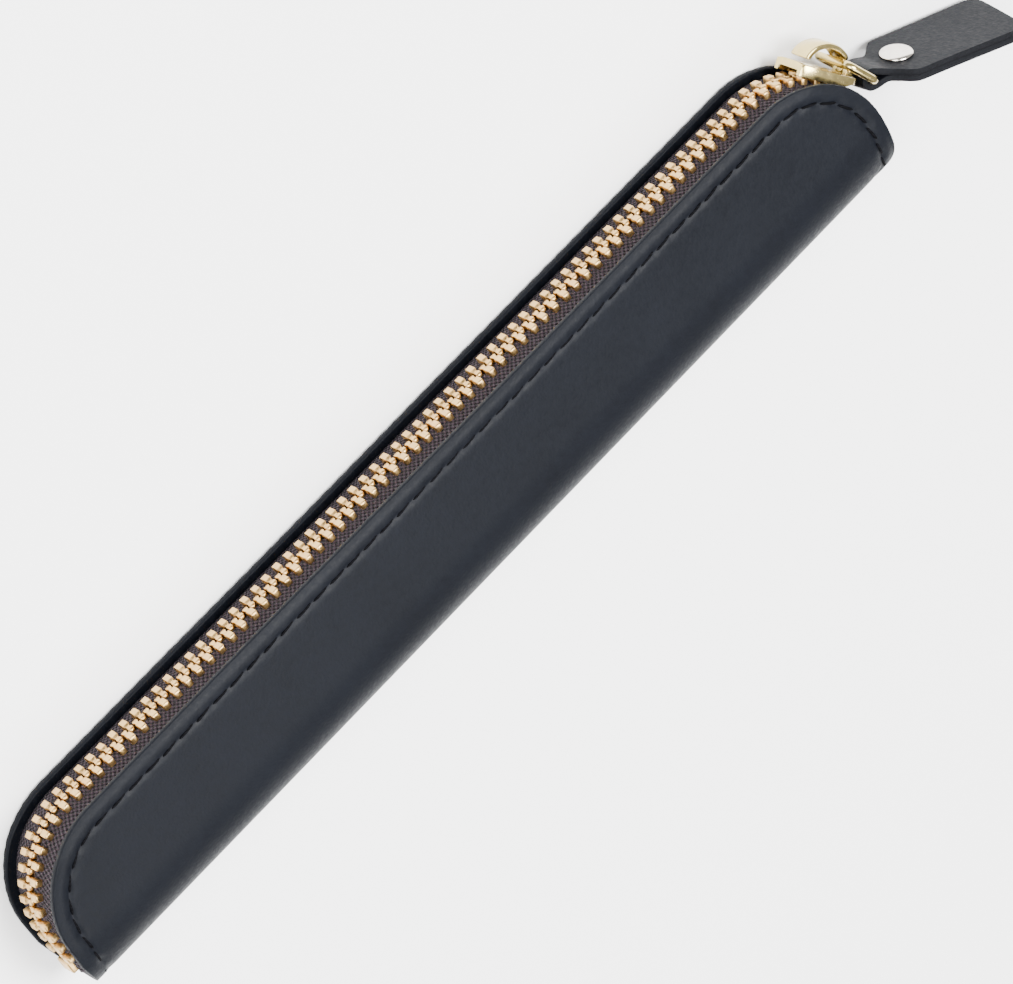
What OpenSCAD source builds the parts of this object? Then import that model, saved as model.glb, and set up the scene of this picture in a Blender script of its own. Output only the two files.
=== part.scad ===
// Fountain pen case: one folded leather sheet with a metal zipper round its open edge.
// Row frame: the back panel lies on z = 0, the zipper faces -Y and the slider end is at -X.
// The pieces are drawn in the case's own frame: x along the case towards the slider end,
// y up from the fold to the zipper (called h), z through the thickness, front panel at +z.

/* [Case] */
// Length of the case
case_l = 200; // [150:1:240]
// Height from the fold to the leather edge
case_h = 29.5; // [27:0.5:40]
// Thickness of the closed case over its two panels
case_w = 16; // [15:0.5:24]
// Radius of the two corners on the zipper side
corner_r = 17; // [14:0.5:18]
// Radius of the fold corner at the slider end
fold_r = 5; // [4:0.5:8]
// Amount by which the fold is shorter at the start end
start_taper = 1.5; // [0:0.1:3]

/* [Leather] */
// Thickness of the leather
leather_t = 1.3; // [0.8:0.1:2]
// Height over which the fold rounds out to the full thickness
bulge_h = 12.5; // [9:0.5:15]
// Depth of the free lip outside the stitches
lip_h = 3; // [2:0.1:5]
// Inward lean of the lip at its edge
lip_lean = 0.4; // [0:0.05:0.8]
// Gap between the front and the back half along the fold
fold_gap = 0.1; // [0.05:0.05:0.3]

/* [Stitches] */
// Distance from one stitch to the next
stitch_pitch = 4; // [3:0.1:6]
// Length of one stitch
stitch_l = 2.8; // [1.5:0.1:4]
// Width of the thread
stitch_w = 0.6; // [0.3:0.1:1]

/* [Zipper] */
// Distance from one tooth to the next on the same tape
tooth_pitch = 2.6; // [2.2:0.1:4]
// Thickness of one tooth along the chain
tooth_t = 1.1; // [0.8:0.05:1.1]
// Height of one tooth through the tape
tooth_h = 2.4; // [1.6:0.1:2.6]
// Width of the closed chain over both rows of teeth
chain_w = 5.8; // [4:0.1:6]
// Overlap of the two rows in the middle
tooth_overlap = 1.2; // [0.8:0.1:1.6]
// Depth of the middle of the chain below the leather edge
chain_depth = 0.7; // [0.3:0.1:2]
// Thickness of the woven tape
tape_t = 0.6; // [0.4:0.1:0.8]
// Width of the tape that is sewn to the inside of the panel
tape_sewn = 7; // [4:0.5:9]
// Height of the first tooth above the fold
chain_start_h = 7.5; // [6:0.5:10]

/* [Slider] */
// Length of the slider
slider_l = 13; // [10:0.5:15]
// Width of the slider
slider_w = 9.4; // [7:0.1:10]
// Thickness of each slider plate
plate_t = 1.2; // [0.8:0.1:1.5]
// Angle down the corner at which the slider is parked
park_angle = 55; // [30:1:60]
// Width of the bail over the slider
bail_w = 4.4; // [3:0.1:5]
// Thickness of the bail strip
bail_t = 0.9; // [0.6:0.1:1.2]
// Diameter of the pin that holds the bail
bail_pin_d = 0.9; // [0.6:0.05:1.2]

/* [Pull] */
// Thickness of the ring wire
wire_d = 1.5; // [1:0.1:2]
// Width of the ring inside, across the strap
ring_inner_w = 7.8; // [6:0.1:9]
// Length of the ring inside, along the pull
ring_inner_l = 5.5; // [5:0.1:8]
// Length of the strap from the ring
strap_l = 31; // [20:1:50]
// Width of the strap
strap_w = 14; // [8:0.5:15]
// Thickness of the strap, two layers
strap_t = 2.4; // [1.6:0.1:3]
// Twist of the strap from the rivet to its end
strap_twist = 2; // [0:1:60]
// Angle of the strap below the line of the zipper
strap_drop = 24; // [0:1:40]
// Distance from the ring to the rivet
rivet_at = 8; // [6:0.5:14]
// Diameter of the rivet cap
rivet_d = 6; // [4:0.5:8]

/* [Hidden] */
$fn = 48;

rest_y = (case_h - lip_h + bulge_h) / 2;
half_l = case_l / 2;
half_w = case_w / 2;
corner_x = half_l - corner_r;
corner_y = case_h - corner_r;
chain_r = corner_r - chain_depth;
chain_y = case_h - chain_depth;
tape_edge = tooth_overlap / 2 + 0.3;
run_gap = 0.25;

// Lengths along the chain, counted from the first tooth
up_l = corner_y - chain_start_h;
arc_l = chain_r * PI / 2;
run_l = 2 * corner_x;
park_s = up_l + arc_l + run_l + chain_r * park_angle * PI / 180;

// Heights of the slider's plates above and below the middle of the chain
inner_r = chain_r - tooth_h / 2;
plate_top = tooth_h / 2 + run_gap;
plate_low = sqrt(pow(inner_r, 2) - pow(slider_l / 2, 2)) - chain_r - run_gap;
tail_taper = 0.7;
flange_w = slider_w / 2 - tail_taper - chain_w / 2 - run_gap;
lug_x = slider_l / 2 - 1.1;
lug_l = 1.8;
lug_h = 1.7;
lug_w = 3.8;
lug_slot = 1.6;
foot_w = 1.4;
foot_l = 1.9;
foot_tall = 2.6;
post_w = 1.4;
post_l = 1.6;
nose_cut = 1;
nose_taper = 0.6;
lug_y = plate_top + plate_t + 0.85;
bail_top = 4.3;
bail_first = 26;
bail_last = 170;
bail_step = 6;
bail_gap = 0.35;
bail_inset = 1.3;
post_x = slider_l / 4;

// The ring turns on its near wire and the strap on its far wire
ring_x = lug_x - 2.9;
ring_y = plate_top + plate_t + 1.75;
ring_dip = 11;
ring_step = ring_inner_l + wire_d;
loop_clear = 0.1;
loop_r = wire_d / 2 + loop_clear + strap_t / 2;
rivet_turn = 8;
bend_r = 0.6 + wire_d / 2;
cross_l = ring_inner_w / 2 + wire_d / 2 - bend_r;
neck_w = 2 * cross_l;
neck_l = 3;
twist_start = 3;
strap_stations = 16;

// Stops and rivet
stop_l = 2.6;
stop_h = 4.2;
top_stop_l = 1.6;
top_stop_w = 1.8;
cap_h = 1.1;
post_d = 2.4;
flange_t = 0.6;
pin_clear = 0.1;

function arc_points(c, r, a0, a1, n) =
    [for (k = [0:n]) let (a = a0 + (a1 - a0) * k / n) [c[0] + r * cos(a), c[1] + r * sin(a)]];

// Outline of a panel in x and h, drawn in from the edge by an inset
function outline(inset) = let (end_r = max(fold_r, inset + 0.5)) concat(
    arc_points([half_l - end_r, end_r], end_r - inset, -90, 0, 6),
    arc_points([corner_x, corner_y], corner_r - inset, 0, 90, 24),
    arc_points([-corner_x, corner_y], corner_r - inset, 90, 180, 24),
    [[-half_l + inset, chain_start_h], [-half_l + start_taper + inset, 0]]);

// Half thickness of the case at a height, at a depth into the leather
function half_at(h, depth) =
    h < bulge_h
        ? (half_w - depth) * sqrt(max(0, 1 - pow((bulge_h - max(h, depth)) / (bulge_h - depth), 2)))
        : half_w - depth - lip_lean * max(0, h - case_h + lip_h) / lip_h;

// One face of a half case in h and z, at a depth into the leather
function face_points(depth) = concat(
    [for (a = [0:6:84]) [bulge_h - (bulge_h - depth) * cos(a),
                         max(fold_gap / 2, (half_w - depth) * sin(a))]],
    [[bulge_h, half_w - depth], [case_h - lip_h, half_w - depth],
     [case_h + 1, half_w - depth - lip_lean * (lip_h + 1) / lip_h]]);

function reversed(list) = [for (k = [len(list) - 1:-1:0]) list[k]];

// Place and direction at a length along the chain
function chain_at(s) =
    s < up_l ? [-half_l + chain_depth, chain_start_h + s]
    : s < up_l + arc_l ? let (a = 180 - (s - up_l) / chain_r * 180 / PI)
        [-corner_x + chain_r * cos(a), corner_y + chain_r * sin(a)]
    : s < up_l + arc_l + run_l ? [-corner_x + s - up_l - arc_l, chain_y]
    : let (a = 90 - (s - up_l - arc_l - run_l) / chain_r * 180 / PI)
        [corner_x + chain_r * cos(a), corner_y + chain_r * sin(a)];

function chain_angle(s) =
    s < up_l ? 90
    : s < up_l + arc_l ? 90 - (s - up_l) / chain_r * 180 / PI
    : s < up_l + arc_l + run_l ? 0
    : -(s - up_l - arc_l - run_l) / chain_r * 180 / PI;

// From the case's own frame to the row frame
module place() {
    translate([0, rest_y, half_w])
        rotate([0, 0, 180])
            children();
}

// x along the chain, y out of the case, at a length along the chain
module along_chain(s) {
    translate(concat(chain_at(s), 0))
        rotate([0, 0, chain_angle(s)])
            children();
}

// The slider's own frame, at its parked place on the corner
module at_slider() {
    along_chain(park_s)
        children();
}

// The strap's own frame: x along the strap, y out of its face, from the ring's far wire
module at_strap() {
    at_slider()
        translate([ring_x + ring_step * cos(ring_dip), ring_y - ring_step * sin(ring_dip), 0])
            rotate([0, 0, park_angle - strap_drop])
                children();
}

// A layer of a half case between two depths into the leather
module half_layer(outer, inner) {
    translate([-half_l, 0, 0])
        rotate([90, 0, 90])
            linear_extrude(case_l)
                polygon(concat(face_points(outer), reversed(face_points(inner))));
}

// A block with the outline of the panel, drawn in by an inset
module outline_block(inset) {
    translate([0, 0, -case_w])
        linear_extrude(2 * case_w)
            polygon(outline(inset));
}

module half_panel() {
    intersection() {
        half_layer(0, leather_t);
        outline_block(0);
    }
}

// The space that the tape spans, from the teeth to just inside its sewn part
module half_cavity() {
    translate([-half_l, 0, 0])
        rotate([90, 0, 90])
            linear_extrude(case_l)
                polygon(concat([[case_h + 1, tape_edge], [0, tape_edge]],
                    [for (p = face_points(leather_t + tape_t / 3)) if (p[1] > tape_edge) p]));
}

// The tape of one half: the band that carries the teeth and the part sewn to the panel
module half_tape(foot_h) {
    difference() {
        union() {
            intersection() {
                half_cavity();
                difference() {
                    outline_block(chain_depth - tape_t / 2);
                    outline_block(chain_depth + tape_t / 2);
                }
            }
            intersection() {
                half_layer(leather_t, leather_t + tape_t);
                difference() {
                    outline_block(chain_depth);
                    outline_block(chain_depth + tape_sewn);
                }
            }
        }
        translate([-case_l, -case_h, -case_w])
            cube([2 * case_l, case_h + foot_h, 2 * case_w]);
    }
}

module half_teeth(first) {
    for (s = [first:tooth_pitch:park_s + post_x - 1.6])
        along_chain(s)
            translate([-tooth_t / 2, -tooth_h / 2, -tooth_overlap / 2])
                cube([tooth_t, tooth_h, (chain_w + tooth_overlap) / 2]);
}

module half_stitches() {
    for (s = [0:stitch_pitch:up_l + arc_l + run_l + arc_l + up_l])
        let (p = chain_at(min(s, up_l + arc_l + run_l + arc_l)),
             a = chain_angle(min(s, up_l + arc_l + run_l + arc_l)),
             below = max(0, s - up_l - arc_l - run_l - arc_l),
             q = [p[0] - (lip_h - chain_depth) * -sin(a), p[1] - (lip_h - chain_depth) * cos(a) - below],
             slope = atan2(half_at(q[1] + 0.1, 0) - half_at(q[1] - 0.1, 0), 0.2))
            translate([q[0], q[1], half_at(q[1], 0)])
                rotate([slope, 0, 0])
                    rotate([0, 0, a])
                        translate([-stitch_l / 2, -stitch_w / 2, -0.4])
                            cube([stitch_l, stitch_w, 0.35]);
}

module back_panel() {
    color([0.13, 0.14, 0.17])
        place()
            mirror([0, 0, 1])
                half_panel();
}

module front_panel() {
    color([0.13, 0.14, 0.17])
        place()
            half_panel();
}

module stitches_back() {
    color([0.06, 0.06, 0.08])
        place()
            mirror([0, 0, 1])
                half_stitches();
}

module stitches_front() {
    color([0.06, 0.06, 0.08])
        place()
            half_stitches();
}

module tape_back() {
    color([0.25, 0.21, 0.25])
        place()
            mirror([0, 0, 1])
                half_tape(2.5);
}

module tape_front() {
    color([0.25, 0.21, 0.25])
        place()
            half_tape(chain_start_h - 1.2);
}

module teeth_back() {
    color([0.83, 0.74, 0.52])
        place()
            mirror([0, 0, 1])
                half_teeth(tooth_pitch / 2);
}

module teeth_front() {
    color([0.83, 0.74, 0.52])
        place()
            half_teeth(0);
}

// The stop that joins the tapes at the start, gripped on the back tape
module bottom_stop() {
    color([0.83, 0.74, 0.52])
        place()
            translate([-half_l + chain_depth - tooth_h / 2, chain_start_h - stop_h, -chain_w / 2])
                cube([tooth_h, stop_l, chain_w / 2 + tooth_overlap / 2]);
}

module half_top_stop() {
    along_chain(park_s + slider_l / 2 + top_stop_l)
        translate([-top_stop_l / 2, -tooth_h / 2, tape_edge + 0.1])
            cube([top_stop_l, tooth_h, top_stop_w]);
}

module top_stop_back() {
    color([0.83, 0.74, 0.52])
        place()
            mirror([0, 0, 1])
                half_top_stop();
}

module top_stop_front() {
    color([0.83, 0.74, 0.52])
        place()
            half_top_stop();
}

// Plan of a slider plate: wide at the nose, narrower where the closed chain leaves it
module plate(y0) {
    nose = slider_w / 2;
    tail = slider_w / 2 - tail_taper;
    translate([0, y0 + plate_t, 0])
        rotate([90, 0, 0])
            linear_extrude(plate_t)
                polygon([[-slider_l / 2, -tail], [slider_l / 4, -nose],
                         [slider_l / 2 - nose_cut, -nose + nose_taper],
                         [slider_l / 2, -nose / 2], [slider_l / 2, nose / 2],
                         [slider_l / 2 - nose_cut, nose - nose_taper],
                         [slider_l / 4, nose], [-slider_l / 2, tail]]);
}

// A flange along each side of a plate, clear of the tape between them
module flanges(y0, height) {
    for (side = [-1, 1])
        translate([-slider_l / 2, y0, side * (slider_w / 2 - tail_taper - flange_w / 2) - flange_w / 2])
            cube([slider_l * 0.7, height, flange_w]);
}

module slider_body() {
    color([0.86, 0.80, 0.60])
        place()
            at_slider()
                difference() {
                    union() {
                        plate(plate_top);
                        plate(plate_low - plate_t);
                        flanges(tape_t / 2 + run_gap, plate_top - tape_t / 2 - run_gap);
                        translate([post_x - post_l / 2, plate_low, -post_w / 2])
                            cube([post_l, plate_top - plate_low, post_w]);
                        translate([lug_x - lug_l / 2, plate_top + plate_t, -lug_w / 2])
                            cube([lug_l, lug_h, lug_w]);
                    }
                    translate([lug_x - lug_l, plate_top + plate_t, -lug_slot / 2])
                        cube([2 * lug_l, 2 * lug_h, lug_slot]);
                    translate([lug_x, lug_y, 0])
                        cylinder(h = 2 * lug_w, d = bail_pin_d + pin_clear, center = true);
                }
}

// Side of the bail strip as an arch over the top plate, free at the rear end
module slider_bail() {
    rise = bail_top - bail_t;
    span = slider_l / 2 - bail_inset;
    base = plate_top + plate_t + bail_gap;
    outer = [for (a = [bail_first:bail_step:bail_last]) [span * cos(a), base + bail_top * sin(a)]];
    inner = [for (a = [bail_last:-bail_step:bail_first]) [(span - bail_t) * cos(a), base + rise * sin(a)]];
    color([0.86, 0.80, 0.60])
        place()
            at_slider()
                difference() {
                    union() {
                        translate([0, 0, -bail_w / 2])
                            linear_extrude(bail_w)
                                polygon(concat(outer, inner));
                        translate([lug_x - 1.1, plate_top + plate_t + 0.1, -foot_w / 2])
                            cube([foot_l, foot_tall, foot_w]);
                    }
                    translate([lug_x, lug_y, 0])
                        cylinder(h = 2 * lug_w, d = bail_pin_d + pin_clear, center = true);
                }
}

module bail_pin() {
    color([0.80, 0.74, 0.55])
        place()
            at_slider()
                translate([lug_x, lug_y, 0])
                    cylinder(h = lug_w, d = bail_pin_d, center = true);
}

// Oval wire ring through the bail, its long sides across the pull
module pull_ring() {
    reach = ring_step - 2 * bend_r;
    color([0.88, 0.84, 0.70])
        place()
            at_slider()
                translate([ring_x, ring_y, 0])
                    rotate([0, 0, -ring_dip])
                        union() {
                            for (x = [0, ring_step])
                                translate([x, 0, 0])
                                    cylinder(h = 2 * cross_l, d = wire_d, center = true);
                            for (z = [-1, 1])
                                translate([bend_r, 0, z * (cross_l + bend_r)])
                                    rotate([0, 90, 0])
                                        cylinder(h = reach, d = wire_d);
                            for (x = [0, 1], z = [-1, 1])
                                translate([x == 1 ? ring_step - bend_r : bend_r, 0, z * cross_l])
                                    rotate([90, 0, 0])
                                        rotate([0, 0, z > 0 ? 90 * (1 - x) : 180 + 90 * x])
                                            rotate_extrude(angle = 90)
                                                translate([bend_r, 0])
                                                    circle(d = wire_d);
                        }
}

// Width and twist of the strap at a distance from the ring
function strap_half(u) = let (part = min(1, max(0, (u - neck_l) / (rivet_at - neck_l))))
    neck_w / 2 + (strap_w - neck_w) / 2 * pow(sin(90 * part), 2);
function strap_turn(u) = let (from = rivet_at + twist_start, part = (u - from) / (strap_l - from))
    rivet_turn * min(1, u / 4) + strap_twist * pow(sin(90 * min(1, max(0, part))), 2);

module strap() {
    first = loop_r * 0.6;
    ring_points = [for (k = [0:strap_stations])
        let (u = first + (strap_l - first) * k / strap_stations, b = strap_half(u), t = strap_turn(u))
            for (c = [[-1, -1], [1, -1], [1, 1], [-1, 1]])
                [u,
                 c[1] * strap_t / 2 * cos(t) - c[0] * b * sin(t),
                 c[1] * strap_t / 2 * sin(t) + c[0] * b * cos(t)]];
    sides = [for (k = [0:strap_stations - 1], j = [0:3])
        let (a = 4 * k + j, b = 4 * k + (j + 1) % 4)
            for (f = [[a, b, b + 4], [a, b + 4, a + 4]]) f];
    ends = [[2, 1, 0], [3, 2, 0], [4 * strap_stations, 4 * strap_stations + 1, 4 * strap_stations + 2],
            [4 * strap_stations, 4 * strap_stations + 2, 4 * strap_stations + 3]];
    color([0.13, 0.14, 0.17])
        place()
            at_strap()
                difference() {
                    union() {
                        polyhedron(ring_points, concat(sides, ends));
                        cylinder(h = neck_w, r = loop_r, center = true);
                    }
                    cylinder(h = strap_w + 2, d = wire_d + 2 * loop_clear, center = true);
                }
}

module at_rivet() {
    at_strap()
        translate([rivet_at, 0, 0])
            rotate([rivet_turn, 0, 0])
                rotate([-90, 0, 0])
                    children();
}

module rivet_cap() {
    dome = rivet_d * 0.9;
    color([0.85, 0.83, 0.80])
        place()
            at_rivet()
                intersection() {
                    translate([0, 0, strap_t / 2])
                        cylinder(h = 2, d = rivet_d);
                    translate([0, 0, strap_t / 2 + cap_h - dome])
                        sphere(r = dome);
                }
}

module rivet_post() {
    color([0.80, 0.78, 0.75])
        place()
            at_rivet() {
                translate([0, 0, -strap_t / 2])
                    cylinder(h = strap_t, d = post_d);
                translate([0, 0, -strap_t / 2 - flange_t])
                    cylinder(h = flange_t, d = rivet_d - 1);
            }
}

back_panel();
front_panel();
stitches_back();
stitches_front();
tape_back();
tape_front();
teeth_back();
teeth_front();
bottom_stop();
top_stop_back();
top_stop_front();
slider_body();
slider_bail();
bail_pin();
pull_ring();
strap();
rivet_cap();
rivet_post();
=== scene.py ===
"""Fountain pen case: a folded leather sheet with a metal zipper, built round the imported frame."""
import math

import bmesh
import bpy
import numpy as np
from bpy.props import FloatProperty, FloatVectorProperty, PointerProperty
from mathutils import Matrix, Vector


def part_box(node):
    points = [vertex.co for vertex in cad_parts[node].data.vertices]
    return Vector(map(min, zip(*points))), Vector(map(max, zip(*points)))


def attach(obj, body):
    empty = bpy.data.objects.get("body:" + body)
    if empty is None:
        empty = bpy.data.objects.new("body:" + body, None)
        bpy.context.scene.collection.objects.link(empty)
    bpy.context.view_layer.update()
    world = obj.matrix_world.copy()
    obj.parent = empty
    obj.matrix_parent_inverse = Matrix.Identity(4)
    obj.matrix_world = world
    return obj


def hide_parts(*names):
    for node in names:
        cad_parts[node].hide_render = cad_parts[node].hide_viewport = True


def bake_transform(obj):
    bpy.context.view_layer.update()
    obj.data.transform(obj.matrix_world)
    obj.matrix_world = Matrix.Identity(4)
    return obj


bl_info = {
    "name": "Fountain Pen Case",
    "version": (1, 0, 0),
    "blender": (4, 5, 0),
    "location": "View3D > Sidebar > Pen Case",
    "description": "Builds the leather, zipper, slider and pull of a fountain pen case",
    "category": "Object",
}

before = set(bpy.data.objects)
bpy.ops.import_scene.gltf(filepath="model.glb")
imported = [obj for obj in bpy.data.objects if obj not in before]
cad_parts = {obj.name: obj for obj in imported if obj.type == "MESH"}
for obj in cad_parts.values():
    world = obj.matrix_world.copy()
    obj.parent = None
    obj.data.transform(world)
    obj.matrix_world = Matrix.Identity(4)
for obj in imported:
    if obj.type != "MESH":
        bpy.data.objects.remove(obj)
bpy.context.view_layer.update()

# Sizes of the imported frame, in millimetres. The case's own frame has x along the case towards
# the slider end, h up from the fold to the zipper and n through the thickness, front panel at +n.
BACK_LOW, BACK_HIGH = (np.array(corner) * 1000 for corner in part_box("back_panel"))
CASE_L = BACK_HIGH[0] - BACK_LOW[0]
CASE_H = BACK_HIGH[1] - BACK_LOW[1]
FOLD_Y = BACK_HIGH[1]
HALF_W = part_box("front_panel")[1][2] * 1000 / 2
HALF_L = CASE_L / 2

# Heights over the fold, in millimetres: where the stitches, the tapes and the teeth begin, and
# where the start end's taper stops.
STITCH_START = 3.4
TAPE_START = 3.2
CHAIN_START = 7.5
TAPER_H = 7.5

# How far the stitches sink into the leather, the play between tape and leather, and how far the
# tape's edge stands from the middle, in millimetres.
STITCH_SINK = 0.12
TAPE_GAP = 0.12
TAPE_EDGE = 0.55


def size(name, description, default):
    """A length that a user can change, in metres, from a default in millimetres."""
    return FloatProperty(name=name, description=description, default=default / 1000, unit="LENGTH",
                         precision=5)


def linear(hex_colour):
    """An sRGB hex colour as the linear colour that a shader takes."""
    parts = [int(hex_colour[i : i + 2], 16) / 255 for i in (1, 3, 5)]
    return [c / 12.92 if c <= 0.04045 else ((c + 0.055) / 1.055) ** 2.4 for c in parts] + [1.0]


def colour(name, description, default):
    """A colour that a user can change, from an sRGB hex default."""
    return FloatVectorProperty(name=name, description=description, default=linear(default), size=4,
                               subtype="COLOR", min=0, max=1)


class PENCASE_Sizes(bpy.types.PropertyGroup):
    corner_r: size("Corner radius", "Radius of the corners on the zipper side", 17)
    fold_r: size("Fold corner radius", "Radius of the fold corner at the slider end", 5)
    start_taper: size("Start taper", "Amount by which the fold is shorter at the start end", 1.5)
    leather_t: size("Leather thickness", "Thickness of the leather", 1.3)
    bulge_h: size("Bulge height", "Height over which the fold rounds out", 12.5)
    lip_h: size("Lip depth", "Depth of the free lip outside the stitches", 3)
    lip_lean: size("Lip lean", "Inward lean of the lip at its edge", 0.4)
    stitch_pitch: size("Stitch pitch", "Distance from one stitch to the next", 4)
    tooth_pitch: size("Tooth pitch", "Distance between teeth on one tape", 2.6)
    chain_w: size("Chain width", "Width over both rows of teeth", 5.8)
    chain_depth: size("Chain depth", "Depth of the middle of the chain below the leather edge", 0.7)
    tape_t: size("Tape thickness", "Thickness of the woven tape", 0.5)
    tape_sewn: size("Sewn width", "Width of tape sewn inside the panel", 7)
    wire_d: size("Wire diameter", "Thickness of the ring wire", 1.5)
    strap_l: size("Strap length", "Length of the strap from the ring", 31)
    strap_w: size("Strap width", "Width of the strap", 14)
    strap_ply: size("Strap layer", "Thickness of one of the strap's two layers", 1.15)


class PENCASE_Colours(bpy.types.PropertyGroup):
    leather: colour("Leather", "Face of the leather", "#090b10")
    leather_edge: colour("Cut edge", "Cut edge of the leather", "#0d0e11")
    flesh: colour("Flesh side", "Inside of the leather", "#1c1d22")
    thread: colour("Thread", "Sewing thread", "#050507")
    tape: colour("Tape", "Warp of the zipper tape", "#392d35")
    tape_weft: colour("Tape weft", "Weft of the zipper tape", "#08070a")
    teeth: colour("Teeth", "Brass of the teeth", "#d3ad72")
    slider: colour("Slider", "Pale gold plating of the slider", "#cdb97e")
    rivet: colour("Rivet", "Nickel of the rivet", "#e4ddd2")
    floor: colour("Floor", "Floor", "#fcfcfc")


def mm(name):
    """A size from the panel, in millimetres."""
    return getattr(bpy.context.scene.pen_case_sizes, name) * 1000


def tint(name, share=1.0):
    """A colour from the panel as a linear colour, lightened or darkened by a share."""
    value = getattr(bpy.context.scene.pen_case_colours, name)
    return [min(1.0, c * share) for c in value[:3]] + [1.0]


# ---------------------------------------------------------------- shape of the case


def to_row(points):
    """Points of the case's own frame, in millimetres, as points of the row frame in metres."""
    p = np.asarray(points, float).reshape(-1, 3)
    return np.stack([-p[:, 0], FOLD_Y - p[:, 1], p[:, 2] + HALF_W], 1) / 1000


def turn_to_row(vectors):
    v = np.asarray(vectors, float).reshape(-1, 3)
    return np.stack([-v[:, 0], -v[:, 1], v[:, 2]], 1)


def half_at(h, depth=0.0):
    """Half thickness of the case at a height, at a depth into the leather."""
    bulge = mm("bulge_h")
    h = np.asarray(h, float)
    low = 1 - ((bulge - np.clip(h, depth, bulge)) / (bulge - depth)) ** 2
    lean = mm("lip_lean") * np.clip(h - CASE_H + mm("lip_h"), 0, None) / mm("lip_h")
    return np.where(h < bulge, (HALF_W - depth) * np.sqrt(np.clip(low, 0, 1)), HALF_W - depth - lean)


def end_at(h, slider_end):
    """How far the panel's end reaches from the middle at a height."""
    h = np.asarray(h, float)
    if slider_end:
        r = mm("fold_r")
        return HALF_L - r + np.sqrt(np.clip(r * r - np.clip(r - h, 0, None) ** 2, 0, None))
    return HALF_L - mm("start_taper") * np.clip(1 - h / TAPER_H, 0, None)


class Path:
    """The line round the open edge at an inset from the leather edge, from the start end's fold."""

    def __init__(self, inset, low):
        self.r = mm("corner_r") - inset
        self.cx = HALF_L - mm("corner_r")
        self.cy = CASE_H - mm("corner_r")
        self.low = low
        self.up = self.cy - low
        self.arc = self.r * math.pi / 2
        self.run = 2 * self.cx
        self.total = 2 * self.up + 2 * self.arc + self.run

    def corner(self, side, angle):
        """Place and outward direction on the rounded corner at one end."""
        out = (math.cos(angle), math.sin(angle))
        return (side * self.cx + self.r * out[0], self.cy + self.r * out[1]), out

    def at(self, s):
        """Place (x, h) and outward direction at a length along the path."""
        if s < self.up:
            return (-self.cx - self.r, self.low + s), (-1, 0)
        s -= self.up
        if s < self.arc:
            return self.corner(-1, math.pi - s / self.r)
        s -= self.arc
        if s < self.run:
            return (-self.cx + s, self.cy + self.r), (0, 1)
        s -= self.run
        if s < self.arc:
            return self.corner(1, math.pi / 2 - s / self.r)
        return (self.cx + self.r, self.cy - (s - self.arc)), (1, 0)


# ---------------------------------------------------------------- mesh helpers


def placed(name, data):
    """A new object in the scene that holds the given data."""
    made = bpy.data.objects.new(name, data)
    bpy.context.collection.objects.link(made)
    return made


def new_piece(name, points, faces, uv=None, in_row=False):
    """A mesh object from points in the case's own frame, or in the row frame if in_row is set."""
    mesh = bpy.data.meshes.new(name)
    where = points if in_row else to_row(points)
    mesh.from_pydata([tuple(p) for p in where], [], faces)
    if uv is not None:
        layer = mesh.uv_layers.new(name="UVMap")
        loops = np.zeros(len(mesh.loops), int)
        mesh.loops.foreach_get("vertex_index", loops)
        layer.data.foreach_set("uv", np.asarray(uv, np.float32)[loops].ravel())
    mesh.polygons.foreach_set("use_smooth", [True] * len(mesh.polygons))
    mesh.validate()
    return placed(name, mesh)


def outward(piece, merge=True):
    """Makes the faces of a closed piece point outwards, and merges its doubles unless it is told not to."""
    work = bmesh.new()
    work.from_mesh(piece.data)
    if merge:
        bmesh.ops.remove_doubles(work, verts=work.verts, dist=1e-7)
        bmesh.ops.dissolve_degenerate(work, edges=work.edges, dist=1e-7)
    bmesh.ops.recalc_face_normals(work, faces=work.faces)
    work.to_mesh(piece.data)
    work.free()
    return piece


def plain(piece):
    """The piece with its modifiers taken into a plain mesh."""
    graph = bpy.context.evaluated_depsgraph_get()
    mesh = bpy.data.meshes.new_from_object(piece.evaluated_get(graph))
    piece.modifiers.clear()
    piece.data = mesh
    mesh.name = piece.name
    return piece


def bevelled(piece, width, segments=3, angle=35):
    """Rounds the sharp edges of a piece by a width in millimetres."""
    bevel = piece.modifiers.new("Bevel", "BEVEL")
    bevel.width = width / 1000
    bevel.segments = segments
    bevel.limit_method = "ANGLE"
    bevel.angle_limit = math.radians(angle)
    bevel.harden_normals = False
    plain(piece)
    smooth_by_angle(piece, 40)
    return piece


def smooth_by_angle(piece, angle):
    piece.data.polygons.foreach_set("use_smooth", [True] * len(piece.data.polygons))
    piece.data.set_sharp_from_angle(angle=math.radians(angle))


def grid_faces(rows, columns, closed_rows=False, closed_columns=False):
    """Quads of a grid of rows by columns, which may close on itself either way."""
    faces = []
    for i in range(rows if closed_rows else rows - 1):
        for j in range(columns if closed_columns else columns - 1):
            k, m = (i + 1) % rows, (j + 1) % columns
            faces.append((i * columns + j, i * columns + m, k * columns + m, k * columns + j))
    return faces


def tube_faces(rows, columns, closed=False):
    """Faces of a tube of rings: its sides, then its two ends unless it closes on itself."""
    faces = grid_faces(rows, columns, closed, True)
    if not closed:
        faces.append(tuple(range(columns)))
        faces.append(tuple(range((rows - 1) * columns, rows * columns))[::-1])
    return faces


def swept(name, sections, closed=False, in_row=False):
    """A tube from a list of sections, each a ring of points."""
    rings = np.array(sections)
    faces = tube_faces(*rings.shape[:2], closed)
    return outward(new_piece(name, rings.reshape(-1, 3), faces, in_row=in_row))


def around(count):
    """Angles of a full turn in equal steps."""
    return np.linspace(0, 2 * math.pi, count, endpoint=False)


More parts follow.
